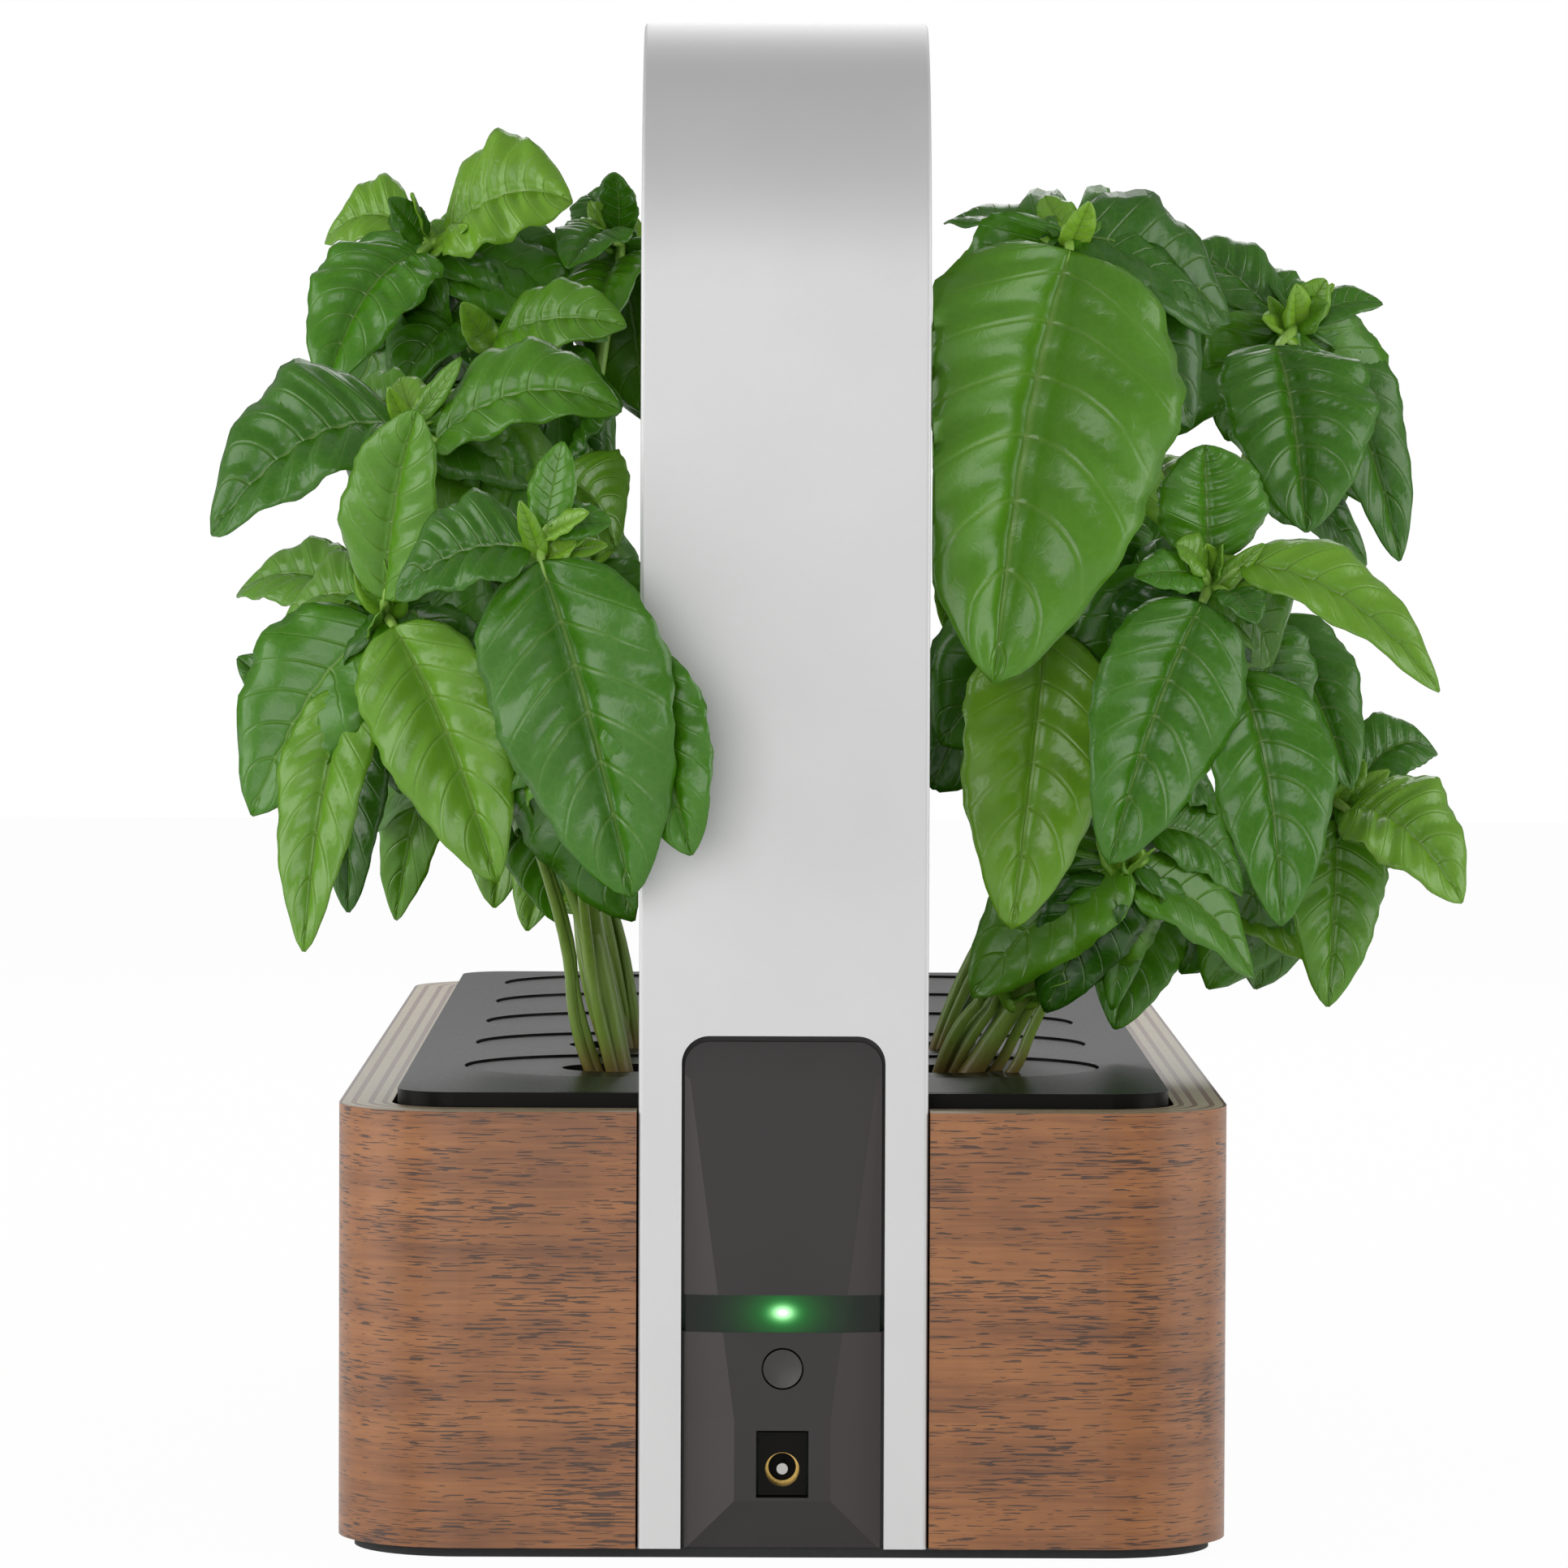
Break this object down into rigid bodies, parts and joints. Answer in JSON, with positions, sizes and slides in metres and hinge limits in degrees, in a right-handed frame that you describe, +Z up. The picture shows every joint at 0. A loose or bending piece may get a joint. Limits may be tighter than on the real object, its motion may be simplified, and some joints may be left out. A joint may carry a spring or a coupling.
{
  "type": "countertop hydroponic garden",
  "caption": "Countertop hydroponic garden: walnut plywood trough with black pod lid, aluminium arch lamp over it, front control panel and basil plants.",
  "frame": {"origin": "middle of the foot pad's underside, on the surface it stands on", "axes": "X to the right seen from the panel, Y from the panel's end to the rear, Z up"},
  "size_m": [0.2464, 0.4059, 0.289],
  "materials": {
    "rubber_pad": "matt",
    "walnut_ply": "satin walnut veneer over pale and brown plies",
    "black_plastic": "fine textured",
    "arch_metal": "bead-blasted satin",
    "steel": "plain",
    "panel_plastic": "matt dark grey",
    "window_plastic": "dark tinted gloss",
    "led_green": "lit green",
    "board_green": "circuit board",
    "brass": "plated contact",
    "white_plastic": "white",
    "led_yellow": "lamp chips, unlit",
    "clear_cover": "frosted clear cover",
    "grow_foam": "sponge of growing medium",
    "stem": "green stems",
    "leaf": "basil leaves with a soft gloss"
  },
  "bodies": {
    "base": {"foot_pad": "rubber_pad", "plywood_band_left": "walnut_ply", "plywood_band_right": "walnut_ply", "base_plate": "black_plastic", "arch": "arch_metal", "arch_bracket": "steel", "bracket_screw_1": "steel", "bracket_screw_2": "steel", "front_panel": "panel_plastic", "indicator_window": "window_plastic", "status_led": "led_green", "button_switch": "black_plastic", "control_board": "board_green", "dc_jack": "black_plastic", "jack_pin": "steel", "jack_contact": "brass", "water_tank": "black_plastic", "pump_housing": "black_plastic", "pump_riser": "black_plastic", "float_guide": "black_plastic", "lamp_housing": "white_plastic", "lamp_board": "white_plastic", "lamp_leds": "led_yellow", "lamp_cover": "clear_cover", "wire_duct": "black_plastic"},
    "lid_with_plants": {"lid": "black_plastic", "pod_cap_01": "black_plastic", "pod_cap_02": "black_plastic", "pod_cap_03": "black_plastic", "pod_cap_04": "black_plastic", "net_basket_01": "black_plastic", "grow_plug_01": "grow_foam", "basil_stems_01": "stem", "basil_leaves_01": "leaf", "net_basket_02": "black_plastic", "grow_plug_02": "grow_foam", "basil_stems_02": "stem", "basil_leaves_02": "leaf", "net_basket_03": "black_plastic", "grow_plug_03": "grow_foam", "basil_stems_03": "stem", "basil_leaves_03": "leaf", "net_basket_04": "black_plastic", "grow_plug_04": "grow_foam", "basil_stems_04": "stem", "basil_leaves_04": "leaf"},
    "button": {"power_button": "panel_plastic"},
    "impeller": {"pump_impeller": "white_plastic"},
    "float": {"water_float": "white_plastic"},
    "blank_05": {"pod_cap_05": "black_plastic"},
    "blank_06": {"pod_cap_06": "black_plastic"},
    "blank_07": {"pod_cap_07": "black_plastic"},
    "blank_08": {"pod_cap_08": "black_plastic"},
    "blank_09": {"pod_cap_09": "black_plastic"},
    "blank_10": {"pod_cap_10": "black_plastic"}
  },
  "joints": [
    {"name": "lid_lift", "type": "slide", "parent": "base", "child": "lid_with_plants", "axis": [0, 0, 1], "range_m": [0, 0.04]},
    {"name": "button_press", "type": "slide", "parent": "base", "child": "button", "axis": [0, 1, 0], "range_m": [0, 0.0008], "stiffness_N_per_m": 500},
    {"name": "pump_spin", "type": "hinge", "parent": "base", "child": "impeller", "pos_m": [0, -0.127, 0.015], "axis": [0, 0, 1], "continuous": true},
    {"name": "float_slide", "type": "slide", "parent": "base", "child": "float", "axis": [0, 0, 1], "range_m": [-0.014, 0.01], "stiffness_N_per_m": 6},
    {"name": "cap_lift_05", "type": "slide", "parent": "lid_with_plants", "child": "blank_05", "axis": [0, 0, 1], "range_m": [0, 0.03]},
    {"name": "cap_lift_06", "type": "slide", "parent": "lid_with_plants", "child": "blank_06", "axis": [0, 0, 1], "range_m": [0, 0.03]},
    {"name": "cap_lift_07", "type": "slide", "parent": "lid_with_plants", "child": "blank_07", "axis": [0, 0, 1], "range_m": [0, 0.03]},
    {"name": "cap_lift_08", "type": "slide", "parent": "lid_with_plants", "child": "blank_08", "axis": [0, 0, 1], "range_m": [0, 0.03]},
    {"name": "cap_lift_09", "type": "slide", "parent": "lid_with_plants", "child": "blank_09", "axis": [0, 0, 1], "range_m": [0, 0.03]},
    {"name": "cap_lift_10", "type": "slide", "parent": "lid_with_plants", "child": "blank_10", "axis": [0, 0, 1], "range_m": [0, 0.03]}
  ]
}
